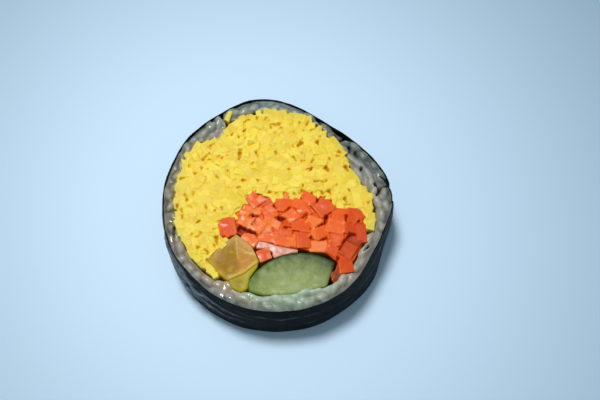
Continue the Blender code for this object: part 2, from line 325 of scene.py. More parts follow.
# Damp skin: a fine pitted surface, smoother in its hollows where the moisture stays
DAMP_SKIN, entry, leave = new_group(
    "damp skin",
    (("Size", "NodeSocketFloat", 0.5), ("Stretch", "NodeSocketVector", (1, 1, 1)),
     ("Smooth", "NodeSocketFloat", 0.2), ("Rough", "NodeSocketFloat", 0.4)),
    ("Roughness", "Height"))
pits = noise_in(DAMP_SKIN, entry, "Size", "Stretch")
roughness = range_in(DAMP_SKIN, pits, 0.35, 0.65, entry.outputs["Smooth"], entry.outputs["Rough"])
DAMP_SKIN.links.new(roughness, leave.inputs["Roughness"])
DAMP_SKIN.links.new(pits, leave.inputs["Height"])


def placed_group(material, group, values):
    placed = add_node(material.node_tree, "ShaderNodeGroup", node_tree=group)
    for label, value in values.items():
        placed.inputs[label].default_value = value
    return placed


def patches(material, size, low=0.35, high=0.65, stretch=(1, 1, 1)):
    values = {"Size": size, "Low": low, "High": high, "Stretch": stretch}
    return placed_group(material, PATCHES, values).outputs["Mask"]


def attribute(material, name):
    return add_node(material.node_tree, "ShaderNodeAttribute", attribute_name=name).outputs["Fac"]


def mixed(material, mask, first, second, most=1.0):
    """Two colours, plain or from a node, mixed by a mask, with at most this share of the second."""
    tree = material.node_tree
    if most < 1:
        mask = range_in(tree, mask, 0, 1, 0, most)
    mix = add_node(tree, "ShaderNodeMix", data_type="RGBA")
    tree.links.new(mask, mix.inputs["Factor"])
    for socket, colour in ((mix.inputs[6], first), (mix.inputs[7], second)):
        if isinstance(colour, tuple):
            socket.default_value = (*colour, 1)
        else:
            tree.links.new(colour, socket)
    return mix.outputs[2]


def layered(material, tone, layers):
    """A tone with colours laid over it, each where its attribute is high and up to its own share."""
    for name, colour, most in layers:
        tone = mixed(material, attribute(material, name), tone, colour, most)
    return tone


def finish(material, shader, colour, size, smooth, rough, depth, stretch=(1, 1, 1)):
    """Joins the colour and a damp skin of this pit size and depth, both in mm, to the shader."""
    links = material.node_tree.links
    links.new(colour, shader.inputs["Base Color"])
    values = {"Size": size, "Smooth": smooth, "Rough": rough, "Stretch": stretch}
    skin_of = placed_group(material, DAMP_SKIN, values)
    links.new(skin_of.outputs["Roughness"], shader.inputs["Roughness"])
    relief = add_node(material.node_tree, "ShaderNodeBump")
    relief.inputs["Strength"].default_value = 1
    relief.inputs["Distance"].default_value = depth * MM
    links.new(skin_of.outputs["Height"], relief.inputs["Height"])
    links.new(relief.outputs["Normal"], shader.inputs["Normal"])


def ramp_of(material, value, stops):
    """A colour for each value, between these stops."""
    ramp = add_node(material.node_tree, "ShaderNodeValToRGB")
    elements = ramp.color_ramp.elements
    for element, (position, colour) in zip(elements, (stops[0], stops[-1])):
        element.position, element.color = position, (*colour, 1)
    for position, colour in stops[1:-1]:
        elements.new(position).color = (*colour, 1)
    material.node_tree.links.new(value, ramp.inputs["Fac"])
    return ramp.outputs["Color"]


seaweed_finish, shader = new_material("roasted seaweed")
tone = mixed(seaweed_finish, patches(seaweed_finish, 2.8), (0.0035, 0.0065, 0.008), (0.008, 0.012, 0.014))
tone = mixed(seaweed_finish, patches(seaweed_finish, 0.7, 0.45, 0.75), tone, (0.012, 0.019, 0.018))
# Painted highlight: a pale blue grey laid on the crease ridges, where the lamp catches them; the same mask
# gives them their gloss
tone = layered(seaweed_finish, tone, (("ridge", (0.13, 0.155, 0.185), 1),))
finish(seaweed_finish, shader, tone, 0.4, 0.32, 0.5, 0.10)
shader.inputs["Specular IOR Level"].default_value = 0.015
seaweed_finish.node_tree.links.new(attribute(seaweed_finish, "ridge"), shader.inputs["Coat Weight"])
shader.inputs["Coat Roughness"].default_value = 0.3
seaweed.data.materials.append(seaweed_finish)
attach(seaweed, "root")
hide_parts("seaweed_sheet")


# The rice: a thin bed of short grains, cooked soft and pressed by the rolling till they stick and smear
# together. Grains and bed are fused into one skin, which lies close against the seaweed all round.
GRAIN_LENGTH_MM = (3.0, 4.2)
GRAIN_WIDTH_MM = (1.9, 2.4)
GRAIN_STANDING = 2.4 * MM
GRAIN_SPACING = 2.15 * MM
GRAIN_TAPER = 0.25
RICE_VOXEL = 0.22 * MM
RICE_TOP = 11.75 * MM
RICE_BED_TOP = 11.1 * MM
RICE_BED_BOTTOM = 0.4 * MM
RICE_BOTTOM = 0.06 * MM
RICE_SQUARENESS = 0.25
RICE_PLAY = 0.03 * MM
RICE_LUMP = 1.2 * MM
RICE_SNUG = 0.45 * MM
BED_OVERLAP = 0.25 * MM
FAR_OUT = 40 * MM
# The heights where the CAD bed is measured: for the grains, and the lowest and highest for the core
GRAINS_AT = 10.6 * MM
CORE_BETWEEN = (0.8 * MM, 10.8 * MM)
# Lines and lumps are worked into a piece above this height
TOP_PART = 9 * MM
# How far the seaweed's shade reaches in, the stretch where it reaches twice as far, and the cooler side
SHADE_REACH = 2.4 * MM
DEEP_SHADE = (36, 24)
COOL_SIDE = 85
# The rice stands back from the seaweed here: the direction and half the width in degrees
OPEN_GAP = (50, 6)
# Where the rice has pushed in among the fillings: the direction, how far in mm, and half the width
PUSHED_IN = (
    (176, 0.3, 40), (130, 1.0, 16), (118, 0.7, 5), (142, 0.5, 5), (36, 1.1, 14), (241, 1.4, 8),
    (254, 0.7, 4), (282, 0.9, 24),
)
# Stretches of rice with a look of their own: the direction, half the width in degrees, and the strength
# SHADED sets how much stronger the painted shade by the seaweed is in each stretch, and below 0 how much
# weaker
SHADED = ((30, 30, 0.6), (244, 18, 0.5), (128, 14, -0.25))
SOAKED = ((194, 11, 1.0), (222, 14, 0.35))
STAINED = ((168, 30, 1.0),)
GREENED = ((276, 24, 1.0),)
WET = ((228, 28, 1.0), (300, 40, 0.6), (125, 14, 1.0))
# Gaps in the rice: from one end to the other in mm, and half the width at the first end
RICE_GAPS = (
    (-17.0, 14.3, -16.5, 12.5, 0.7), (-11.9, 18.7, -8.9, 19.6, 0.85), (-10.9, 19.4, -9.6, 18.6, 0.5),
    (14.9, 15.6, 13.4, 14.6, 0.3), (12.9, 16.4, 12.2, 15.6, 0.25), (15.6, 13.4, 15.9, 11.8, 0.28),
    (18.3, 8.1, 18.2, 7.5, 0.25), (21.1, 4.3, 21.9, 3.3, 0.25), (22.3, 3.1, 21.5, 1.3, 0.3),
    (-13.2, 21.4, -12.6, 20.3, 0.3), (-22.4, -5.9, -22.3, -8.4, 0.22), (16.9, 11.9, 17.6, 10.7, 0.2),
    (-19.3, 10.6, -18.8, 9.8, 0.3), (-5.6, 22.0, -5.5, 21.2, 0.2), (8.8, 20.5, 9.4, 18.6, 0.3),
    (19.6, -10.3, 18.4, -11.6, 0.2), (24.2, 4.0, 22.3, 3.1, 0.14),
)


def surface_of(node):
    """A CAD node's surface, to measure where it lies."""
    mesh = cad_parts[node].data
    return BVHTree.FromPolygons([v.co for v in mesh.vertices], [p.vertices for p in mesh.polygons])


rice_surface = surface_of("rice_bed")


def pushed_in(degrees):
    return sum(reach * MM * bump_at(degrees, at, width) for at, reach, width in PUSHED_IN)


def bed_reach(degrees, height=SLICE_HEIGHT * 0.8):
    """The rice bed's inner and outer radius in this direction."""
    start = around(degrees, 0, height)
    outwards = (around(degrees, 1, height) - start).normalized()
    inner = rice_surface.ray_cast(start, outwards)[3]
    far = around(degrees, FAR_OUT, height)
    outer = FAR_OUT - rice_surface.ray_cast(far, -outwards)[3]
    return inner - pushed_in(degrees) - BED_OVERLAP, outer


def scattered(rng, keep, spacing, tries):
    """Places inside the roll, no two nearer than the spacing, that keep() accepts."""
    cell = spacing / math.sqrt(2)
    grid = {}
    places = []
    for _ in range(tries):
        spot = around(rng.uniform(0, 360), ROLL_RADIUS * math.sqrt(rng.random()))
        key = (int(spot.x // cell), int(spot.y // cell))
        near = (grid.get((key[0] + i, key[1] + j)) for i in range(-2, 3) for j in range(-2, 3))
        if any(other and (other - spot).length < spacing for other in near):
            continue
        if keep(spot.x, spot.y):
            grid[key] = spot
            places.append(spot)
    return places


def copies(meshes, placements, name):
    """One joined mesh of many copies: each placement is a number of a mesh, a transform and a tone."""
    builder = bmesh.new()
    tones = []
    for number, transform, tone in placements:
        single = meshes[number].copy()
        single.transform(transform)
        builder.from_mesh(single)
        tones.extend([tone] * len(single.vertices))
        bpy.data.meshes.remove(single)
    joined = bpy.data.meshes.new(name)
    builder.to_mesh(joined)
    builder.free()
    thing = bpy.data.objects.new(name, joined)
    bpy.context.scene.collection.objects.link(thing)
    spread_values(thing, "tone", tones)
    return thing


def points_of(thing):
    """A piece's points as rows of x, y and z."""
    points = numpy.empty(len(thing.data.vertices) * 3)
    thing.data.vertices.foreach_get("co", points)
    return points.reshape(-1, 3)


def evened(thing, points, rounds):
    """The points with each one moved to the middle of its neighbours, this many times over."""
    edges = numpy.empty(len(thing.data.edges) * 2, dtype=numpy.int32)
    thing.data.edges.foreach_get("vertices", edges)
    first, second = edges.reshape(-1, 2).T
    neighbours = numpy.bincount(edges, minlength=len(points))
    level = points.copy()
    for _ in range(rounds):
        for axis in range(3):
            total = numpy.bincount(first, level[second, axis], len(points))
            total += numpy.bincount(second, level[first, axis], len(points))
            level[:, axis] = total / neighbours
    return level


def mark_relief(thing, depth, reach):
    """Marks how far each point lies in a hollow or on a crest of the surface, up to 1 at this depth."""
    points = points_of(thing)
    normals = numpy.empty(points.size)
    thing.data.vertex_normals.foreach_get("vector", normals)
    below = ((evened(thing, points, reach) - points) * normals.reshape(-1, 3)).sum(axis=1)
    spread_values(thing, "hollow", numpy.clip(below / depth, 0, 1))
    spread_values(thing, "crest", numpy.clip(-below / depth, 0, 1))


def work_lines(thing, lines, depth):
    """Cuts wedge-shaped lines into the top, or raises them for a depth below 0, and marks them."""
    points = points_of(thing)
    x, y = (points[:, 0] - AXIS.x) / MM, (points[:, 1] - AXIS.y) / MM
    waver = 0.04 * (numpy.sin(7.1 * x + 2.3 * y) + numpy.sin(5.3 * y - 3.7 * x))
    opened = numpy.zeros(len(points))
    for x1, y1, x2, y2, half_width in lines:
        length = math.hypot(x2 - x1, y2 - y1)
        way = ((x2 - x1) / length, (y2 - y1) / length)
        length = max(length, 3.5 * half_width)
        along = (x - x1) * way[0] + (y - y1) * way[1]
        across = numpy.abs((y - y1) * way[0] - (x - x1) * way[1])
        outside = across - half_width * (1.15 - along / length)
        outside = numpy.maximum(numpy.maximum(outside, -along), along - length) + waver
        opened = numpy.maximum(opened, numpy.clip((0.16 - outside) / 0.26, 0, 1))
    opened[points[:, 2] < AXIS.z + TOP_PART] = 0
    points[:, 2] -= opened ** 1.5 * depth
    share = numpy.clip(opened * 3, 0, 0.8)[:, None]
    points += (evened(thing, points, 2) - points) * share
    thing.data.vertices.foreach_set("co", points.ravel())
    spread_values(thing, "line", opened)


def fuse(bundle, core, voxel, softness, keep):
    """Fuses a bundle with the core under it into one skin, and gives each point its own piece's tone."""
    polygons = [polygon.vertices[:] for polygon in bundle.data.polygons]
    pieces = BVHTree.FromPolygons([vertex.co for vertex in bundle.data.vertices], polygons)
    tones = [bundle.data.attributes["tone"].data[polygon[0]].value for polygon in polygons]
    if core is not None:
        pick(bundle, core)
        bpy.ops.object.join()
    fused = bundle.modifiers.new("fused", "REMESH")
    fused.mode = "VOXEL"
    fused.voxel_size = voxel
    softened = bundle.modifiers.new("softened", "SMOOTH")
    softened.iterations = softness
    thinned = bundle.modifiers.new("thinned", "DECIMATE")
    thinned.ratio = keep
    apply_all(bundle)
    found = (pieces.find_nearest(vertex.co)[2] for vertex in bundle.data.vertices)
    spread_values(bundle, "tone", [tones[face] for face in found])


bpy.ops.object.select_all(action="DESELECT")
bpy.ops.mesh.primitive_uv_sphere_add(segments=14, ring_count=10, radius=0.5)
grain = named_primitive("rice_grain")
for vertex in grain.data.vertices:
    vertex.co.x *= 1 - GRAIN_TAPER * vertex.co.y
    vertex.co.z = math.copysign(0.5 * (2 * abs(vertex.co.z)) ** 0.8, vertex.co.z)


def polar(x, y):
    """A place's direction from the roll's axis in degrees, and how far out it is."""
    return math.degrees(math.atan2(y - AXIS.y, x - AXIS.x)) % 360, math.hypot(x - AXIS.x, y - AXIS.y)


def in_bed(x, y):
    degrees, radius = polar(x, y)
    inner, outer = bed_reach(degrees, GRAINS_AT)
    outer -= 1.3 * MM * bump_at(degrees, *OPEN_GAP)
    return inner + 0.35 * MM < radius < outer - 0.5 * MM


rng = random.Random(11)
grain_places = []
for spot in scattered(rng, in_bed, GRAIN_SPACING, 40000):
    degrees = polar(spot.x, spot.y)[0]
    for top in (RICE_TOP + rng.uniform(-0.35, 0.1) * MM, RICE_BOTTOM + GRAIN_STANDING):
        size = (rng.uniform(*GRAIN_LENGTH_MM) * MM, rng.uniform(*GRAIN_WIDTH_MM) * MM, GRAIN_STANDING, 1)
        turn = Matrix.Rotation(math.radians(degrees + 90 + rng.gauss(0, 20)), 4, "Z")
        lean = Matrix.Rotation(rng.gauss(0, 0.18), 4, rng.choice("XY"))
        middle = Matrix.Translation(spot + Vector((0, 0, top - GRAIN_STANDING / 2)))
        grain_places.append((0, middle @ turn @ lean @ Matrix.Diagonal(size), rng.random()))
rice = copies([grain.data], grain_places, "rice_packed")
bpy.data.objects.remove(grain)

bpy.ops.object.select_all(action="DESELECT")
bpy.ops.mesh.primitive_torus_add(
    major_segments=240, minor_segments=24, major_radius=ROLL_RADIUS, minor_radius=MM)
bed = named_primitive("rice_core")
for vertex in bed.data.vertices:
    degrees = math.degrees(math.atan2(vertex.co.y, vertex.co.x)) % 360
    turn = math.atan2(vertex.co.z, math.hypot(vertex.co.x, vertex.co.y) - ROLL_RADIUS)
    across = 0.5 + 0.5 * math.copysign(abs(math.cos(turn)) ** RICE_SQUARENESS, math.cos(turn))
    up = 0.5 + 0.5 * math.copysign(abs(math.sin(turn)) ** RICE_SQUARENESS, math.sin(turn))
    pressed = 0.3 * MM * noise.noise(vertex.co / (3.5 * MM))
    height = RICE_BED_BOTTOM + (RICE_BED_TOP + pressed - RICE_BED_BOTTOM) * up
    inner = bed_reach(degrees, min(max(height, CORE_BETWEEN[0]), CORE_BETWEEN[1]))[0]
    outer = wrap_inside(degrees, height) - 0.6 * MM * bump_at(degrees, *OPEN_GAP)
    vertex.co = around(degrees, inner + (outer - inner) * across, height)
fuse(rice, bed, RICE_VOXEL, 3, 0.62)

egg_surface = surface_of("egg_shreds")
carrot_surface = surface_of("carrot_sticks")
cucumber_surface = surface_of("cucumber_strip")


def nearness(surface, point, reach):
    """1 on the surface, falling to 0 at this reach from it."""
    found = surface.find_nearest(point, reach)
    return 1 - found[3] / reach if found[0] is not None else 0.0


def strength(degrees, stretches):
    """How strong each of a look's stretches is in this direction."""
    return [most * bump_at(degrees, at, width) for at, width, most in stretches]


looks = {name: [] for name in ("by_wrap", "by_egg", "by_cucumber", "cool", "wet", "soaked", "stained")}
for vertex in rice.data.vertices:
    flat = vertex.co - AXIS
    degrees, radius = polar(vertex.co.x, vertex.co.y)
    height = min(max(flat.z, 0), SLICE_HEIGHT)
    inside = wrap_inside(degrees, height)
    snug = RICE_SNUG * (1 - bump_at(degrees, *OPEN_GAP)) + RICE_PLAY
    if radius > inside - snug:
        vertex.co = around(degrees, inside - RICE_PLAY, flat.z)
    if flat.z > RICE_TOP:
        vertex.co.z -= (flat.z - RICE_TOP) * 0.8
    if flat.z < RICE_BOTTOM:
        vertex.co.z = AXIS.z + RICE_BOTTOM
    cool = 0.5 + 0.5 * math.cos(math.radians(degrees - COOL_SIDE))
    shaded = 0.8 + 0.1 * cool + sum(strength(degrees, SHADED))
    reach = SHADE_REACH * (1 + bump_at(degrees, *DEEP_SHADE))
    streaks = 0.8 + 0.6 * noise.noise(vertex.co / (1.6 * MM))
    lift = nearness(cucumber_surface, vertex.co, 3.5 * MM)
    greened = max(lift, *strength(degrees, GREENED))
    looks["cool"].append(cool)
    # Painted shade: the rice darkens towards the seaweed wall, and more in the shaded stretches
    looks["by_wrap"].append(min(max(0.0, 1 - (inside - radius) / reach) ** 1.2 * shaded, 1))
    looks["soaked"].append(max(strength(degrees, SOAKED)) * streaks)
    looks["stained"].append(max(strength(degrees, STAINED)))
    looks["by_cucumber"].append(greened)
    looks["by_egg"].append(max(
        nearness(egg_surface, vertex.co, 1.3 * MM), nearness(carrot_surface, vertex.co, 0.9 * MM)))
    looks["wet"].append(min(sum(strength(degrees, WET)) + 0.15, 1))
    if flat.z > TOP_PART:
        lumps = noise.noise(vertex.co / RICE_LUMP)
        vertex.co.z += (0.4 * lift + (0.1 + 0.1 * greened) * lumps) * MM
for name, values in looks.items():
    spread_values(rice, name, values)
mark_relief(rice, 0.16 * MM, 8)
work_lines(rice, RICE_GAPS, 2.0 * MM)
pick(rice)
bpy.ops.object.shade_smooth()


def let_light_in(shader, share, spread, depth_mm, specular):
    """Lets light into a moist food: the share, how far red, green and blue spread, and the gloss on top."""
    shader.inputs["Subsurface Weight"].default_value = share
    shader.inputs["Subsurface Radius"].default_value = spread
    shader.inputs["Subsurface Scale"].default_value = depth_mm * MM
    shader.inputs["Specular IOR Level"].default_value = specular


rice_finish, shader = new_material("moist rice")
tone = mixed(rice_finish, attribute(rice_finish, "cool"), (0.48, 0.335, 0.265), (0.235, 0.285, 0.275))
tone = layered(rice_finish, tone, (("tone", (0.42, 0.40, 0.33), 0.35),))
tone = mixed(rice_finish, patches(rice_finish, 6.0), tone, (0.28, 0.25, 0.19), 0.4)
tone = layered(rice_finish, tone, (
    ("by_cucumber", (0.36, 0.50, 0.36), 0.85), ("by_egg", (0.38, 0.27, 0.09), 0.5),
    ("stained", (0.24, 0.175, 0.05), 0.7), ("soaked", (0.12, 0.08, 0.03), 0.7),
    # The dark blue grey by the seaweed is painted shade, and the pale colour on the grains' crests a
    # painted highlight
    ("by_wrap", (0.045, 0.068, 0.078), 0.9), ("crest", (0.64, 0.67, 0.58), 0.38),
    # Painted shade: darker in the hollows between the grains, near black in the gaps
    ("hollow", (0.09, 0.08, 0.055), 0.7), ("line", (0.025, 0.016, 0.006), 0.95),
))
finish(rice_finish, shader, tone, 1.2, 0.34, 0.5, 0.055)
wet = patches(rice_finish, 1.8, 0.46, 0.58)
wet = range_in(rice_finish.node_tree, wet, 0, 1, 0, attribute(rice_finish, "wet"))
rice_finish.node_tree.links.new(wet, shader.inputs["Coat Weight"])
shader.inputs["Coat Roughness"].default_value = 0.1
let_light_in(shader, 0.5, (1.0, 0.95, 0.75), 0.8, 0.3)
rice.data.materials.clear()
rice.data.materials.append(rice_finish)
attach(rice, "root")
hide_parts("rice_bed")


# The egg: a thin fried sheet cut into fine shreds, which run through the slice in a tight bundle. The cut
# shows their square ends, pressed over and stuck to each other, with small slots and holes between them.
EGG_TOP = 11.95 * MM
EGG_FLOOR = 0.2 * MM
EGG_LIMITS = (0.05 * MM, 12.15 * MM)
EGG_CORE_TOP = 11.5 * MM
LOOSE_FLOOR = 8 * MM
EGG_VOXEL = 0.16 * MM
SHRED_SPACING = 1.15 * MM
SHRED_WIDTH_MM = (1.0, 1.7)
SHRED_LENGTH_MM = (1.7, 3.2)
# Shreds along the rice are squarer and stand square to it: their width, length and how near they lie
RIM_WIDTH_MM = (1.2, 1.9)
RIM_LENGTH_MM = (1.2, 2.2)
RIM_REACH = 1.6 * MM
# Shreds that lie side by side over the carrots: the middle and half the size of their patch
LYING_SHREDS_MM = ((2.0, 6.0), (8.0, 3.4))
# Slots between the shreds: from one end to the other in mm, and half the width at the first end
EGG_SLOTS = (
    (-18.6, 6.3, -18.0, 6.6, 0.20), (-17.0, 7.9, -16.9, 7.2, 0.16), (-13.6, 5.8, -13.0, 5.1, 0.13),
    (-7.9, 4.8, -7.0, 4.7, 0.22), (-4.5, 5.0, -4.4, 4.2, 0.16), (-9.0, 3.1, -8.1, 3.0, 0.17),
    (-18.4, 1.9, -18.7, 1.2, 0.13), (-20.5, 1.5, -19.9, 0.3, 0.13), (-19.9, 0.5, -19.9, -0.9, 0.15),
    (-15.8, -1.1, -15.4, -2.1, 0.13), (-12.3, -1.5, -12.2, -1.8, 0.18), (-21.9, -1.0, -22.0, -2.4, 0.18),
    (-21.0, -2.1, -20.7, -3.0, 0.15), (-20.7, -3.4, -20.6, -4.4, 0.16), (-16.8, -4.7, -17.6, -5.3, 0.20),
    (-18.3, -7.7, -18.4, -7.9, 0.16), (-16.5, -7.5, -16.6, -7.8, 0.18), (-17.6, -8.6, -16.7, -8.2, 0.11),
    (-13.1, -8.3, -13.0, -10.2, 0.38), (-13.6, -10.6, -13.4, -10.4, 0.24), (-21.6, 5.2, -20.6, 5.3, 0.18),
    (-15.6, -11.4, -14.7, -12.0, 0.18), (-14.7, -12.0, -15.1, -12.6, 0.18), (-8.0, 16.8, -7.2, 17.5, 0.17),
    (-17.2, -10.9, -16.8, -10.9, 0.22), (-9.0, 15.6, -9.0, 15.3, 0.20), (-7.4, 15.3, -7.5, 14.9, 0.16),
    (-10.5, 15.8, -10.2, 16.5, 0.11), (-8.5, 12.4, -8.7, 9.7, 0.42), (-16.9, 9.6, -15.3, 11.4, 0.16),
    (-12.8, 10.1, -12.2, 10.5, 0.16), (-5.1, 11.7, -4.5, 10.6, 0.16), (-0.7, 11.8, -0.5, 11.0, 0.22),
    (-4.9, 20.5, -4.9, 19.8, 0.18), (-2.7, 20.3, -3.2, 19.6, 0.20), (0.4, 18.6, -2.0, 18.5, 0.26),
    (-1.8, 18.0, -1.7, 17.7, 0.15), (-0.6, 16.5, -1.0, 16.3, 0.14), (-15.8, 12.9, -14.3, 13.7, 0.15),
    (5.3, 14.2, 4.9, 13.8, 0.48), (8.5, 14.4, 8.9, 13.4, 0.34), (9.3, 15.6, 9.4, 15.2, 0.14),
    (3.2, 10.6, 4.0, 9.4, 0.13), (5.3, 11.6, 5.4, 11.2, 0.16), (7.8, 9.8, 7.1, 8.7, 0.15),
    (7.5, 7.9, 6.7, 7.0, 0.16), (11.2, 10.2, 11.5, 9.5, 0.15), (10.3, 8.0, 10.8, 7.4, 0.42),
    (14.7, 8.3, 15.4, 7.0, 0.42), (12.8, 10.7, 13.7, 10.6, 0.14), (2.0, 7.4, 2.7, 7.5, 0.12),
    (7.8, 4.5, 9.3, 4.6, 0.15), (9.3, 4.6, 10.0, 4.2, 0.15), (10.7, 4.8, 10.0, 4.2, 0.15),
    (5.4, 3.7, 5.4, 3.3, 0.20), (5.4, 2.5, 4.6, 1.5, 0.34), (9.4, 2.2, 9.8, 1.3, 0.17),
    (11.0, 2.4, 11.4, 1.7, 0.28), (14.4, 0.6, 15.0, -0.6, 0.32), (1.2, 1.7, 2.4, 1.6, 0.22),
    (3.3, 1.7, 4.0, 1.5, 0.18), (-2.2, 2.0, -1.4, 1.9, 0.26), (6.2, 18.4, 7.0, 19.7, 0.17),
    (15.5, 2.5, 15.6, 2.2, 0.14), (19.5, -0.6, 20.2, -0.2, 0.16), (13.2, 11.9, 13.6, 11.5, 0.28),
)
# Loose shreds at the bundle's edge: the place, width and length of each, and its turn in degrees
LOOSE_SHREDS_MM = (
    (-11.4, 20.7, 1.1, 2.4, -18), (-18.2, 13.0, 1.7, 2.4, -25), (-15.2, 13.9, 1.7, 1.1, 25),
    (-19.9, 10.5, 1.4, 1.7, 30), (-17.6, -13.0, 1.5, 1.9, 38), (-16.2, -14.4, 1.3, 1.9, 42),
    (-14.7, -15.5, 1.1, 1.9, 50), (-21.6, -4.3, 1.3, 2.4, -5), (-21.8, 2.0, 1.0, 2.4, 5),
    (-19.9, -8.3, 1.6, 2.4, 30), (14.3, 10.0, 1.0, 2.4, 50),
)


def stands_on(surface, x, y):
    """Whether this place is inside the CAD node, seen from above."""
    hit = surface.ray_cast(Vector((x, y, 30 * MM)), Vector((0, 0, -1)))
    return hit[0] is not None and hit[0].z > 8 * MM


def cut_stick(name, crooked, rng):
    """A stick of unit size with slightly crooked corners."""
    bpy.ops.object.select_all(action="DESELECT")
    bpy.ops.mesh.primitive_cube_add(size=1)
    stick = named_primitive(name)
    shifts = {}
    for vertex in stick.data.vertices:
        corner = (vertex.co.x > 0, vertex.co.y > 0)
        shift = shifts.setdefault(corner, (rng.uniform(-crooked, crooked), rng.uniform(-crooked, crooked)))
        vertex.co.x += shift[0]
        vertex.co.y += shift[1]
    return stick


def standing(x, y, turn, width, depth, floor, top, slope_x, slope_y):
    """The transform that stands a unit stick from the floor up to the top, its ends cut at a slope."""
    slope = Matrix.Identity(4)
    slope[2][0], slope[2][1] = slope_x, slope_y
    size = Matrix.Diagonal((width, depth, top - floor, 1))
    middle = Vector((x, y, AXIS.z + (top + floor) / 2))
    return Matrix.Translation(middle) @ Matrix.Rotation(turn, 4, "Z") @ slope @ size


def lowered_copy(node, name, top):
    """A copy of a CAD node, merged and lowered at both faces: the core under a bundle."""
    core = bpy.data.objects.new(name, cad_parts[node].data.copy())
    bpy.context.scene.collection.objects.link(core)
    core.data.materials.clear()
    builder = bmesh.new()
    builder.from_mesh(core.data)
    bmesh.ops.remove_doubles(builder, verts=builder.verts, dist=1e-6)
    for vertex in builder.verts:
        vertex.co.z = AXIS.z + (top if vertex.co.z > SLICE_HEIGHT / 2 else SLICE_HEIGHT - top)
    builder.to_mesh(core.data)
    builder.free()
    return core


def from_edge(x, y):
    """How far a place in the egg is from the edge of its CAD node."""
    return egg_surface.find_nearest(Vector((x, y, SLICE_HEIGHT / 2)))[3]


def in_egg(x, y):
    """Whether a shred can stand here: on the CAD node, and far enough inside its edge by the rice."""
    degrees, radius = polar(x, y)
    inset = max(0.12 * MM, pushed_in(degrees) - 0.2 * MM)
    return stands_on(egg_surface, x, y) and (radius < 15 * MM or from_edge(x, y) > inset)


rng = random.Random(5)
shreds = [cut_stick(f"egg_shred_{number}", 0.13, rng) for number in range(5)]
egg_places = []
for spot in scattered(rng, in_egg, SHRED_SPACING, 70000):
    width, length = rng.uniform(*SHRED_WIDTH_MM) * MM, rng.uniform(*SHRED_LENGTH_MM) * MM
    turn = 2.2 * math.pi * noise.noise(spot / (9 * MM)) + rng.gauss(0, 0.55)
    (middle_x, middle_y), (half_x, half_y) = LYING_SHREDS_MM
    x, y, _ = (spot - AXIS) / MM
    if abs(x - middle_x) < half_x and abs(y - middle_y) < half_y:
        turn, length = math.pi / 2 + rng.gauss(0, 0.25), length * 1.5
    degrees, radius = polar(spot.x, spot.y)
    if radius > 14 * MM and from_edge(spot.x, spot.y) < RIM_REACH:
        width, length = rng.uniform(*RIM_WIDTH_MM) * MM, rng.uniform(*RIM_LENGTH_MM) * MM
        turn = math.radians(degrees) + rng.gauss(0, 0.22)
    rough = 0.3 + 1.1 * smooth_step(0.5 + 1.5 * noise.noise(spot / (4.5 * MM)))
    level, tone = rng.gauss(0, 0.06) * rough * MM, rng.random()
    level -= 0.35 * MM * nearness(carrot_surface, Vector((spot.x, spot.y, SLICE_HEIGHT / 2)), 1.1 * MM)
    slopes = rng.gauss(0, 0.06) * rough, rng.gauss(0, 0.06) * rough
    place = standing(spot.x, spot.y, turn, width, length, EGG_FLOOR, EGG_TOP + level, *slopes)
    egg_places.append((rng.randrange(5), place, tone))
for x, y, width, length, turn in LOOSE_SHREDS_MM:
    place = standing(
        AXIS.x + x * MM, AXIS.y + y * MM, math.radians(turn), width * MM, length * MM,
        LOOSE_FLOOR, EGG_TOP, 0.03, 0.03)
    egg_places.append((rng.randrange(5), place, rng.random()))
egg = copies([shred.data for shred in shreds], egg_places, "egg_shred_ends")
for shred in shreds:
    bpy.data.objects.remove(shred)
egg_core = lowered_copy("egg_shreds", "egg_core", EGG_CORE_TOP)
for vertex in egg_core.data.vertices:
    degrees, radius = polar(vertex.co.x, vertex.co.y)
    if radius > 15 * MM:
        vertex.co = around(degrees, radius - pushed_in(degrees) - 0.45 * MM, vertex.co.z - AXIS.z)
fuse(egg, egg_core, EGG_VOXEL, 2, 0.45)
mark_relief(egg, 0.09 * MM, 4)
work_lines(egg, EGG_SLOTS, 0.95 * MM)
for vertex in egg.data.vertices:
    vertex.co.z = min(max(vertex.co.z, AXIS.z + EGG_LIMITS[0]), AXIS.z + EGG_LIMITS[1])
by_rice = [nearness(rice_surface, vertex.co, 2.4 * MM) for vertex in egg.data.vertices]
spread_values(egg, "by_rice", by_rice)
pick(egg)
bpy.ops.object.shade_smooth()

egg_finish, shader = new_material("shredded egg")
tone = mixed(egg_finish, attribute(egg_finish, "tone"), (0.80, 0.55, 0.024), (0.93, 0.71, 0.055))
tone = mixed(egg_finish, patches(egg_finish, 3.4, 0.5, 0.68), tone, (0.92, 0.54, 0.026), 0.45)
tone = mixed(egg_finish, patches(egg_finish, 1.8, 0.5, 0.75), tone, (0.92, 0.78, 0.12), 0.5)
tone = layered(egg_finish, tone, (
    # Painted highlight, a paler yellow on the crests, and painted shade, a darker orange in the hollows
    ("crest", (0.96, 0.84, 0.14), 0.4), ("hollow", (0.82, 0.45, 0.016), 0.55),
    # Painted shade: a dark orange brown in the slots between the shreds
    ("by_rice", (0.52, 0.47, 0.07), 0.45), ("line", (0.58, 0.20, 0.010), 0.9),
))
finish(egg_finish, shader, tone, 0.6, 0.4, 0.55, 0.03)
let_light_in(shader, 0.5, (1.0, 0.6, 0.15), 0.6, 0.25)
egg.data.materials.clear()
egg.data.materials.append(egg_finish)
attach(egg, "root")
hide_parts("egg_shreds")


# The carrot: sticks cut square by hand, boiled and laid in a bundle, where they press on and over each
# other, with narrow dark slots left between some of them. One more stick lies apart, beside the radish.
CARROT_TOP = 12.0 * MM
CARROT_FLOOR = 0.2 * MM
CARROT_CORE_TOP = 11.4 * MM
CARROT_VOXEL = 0.14 * MM
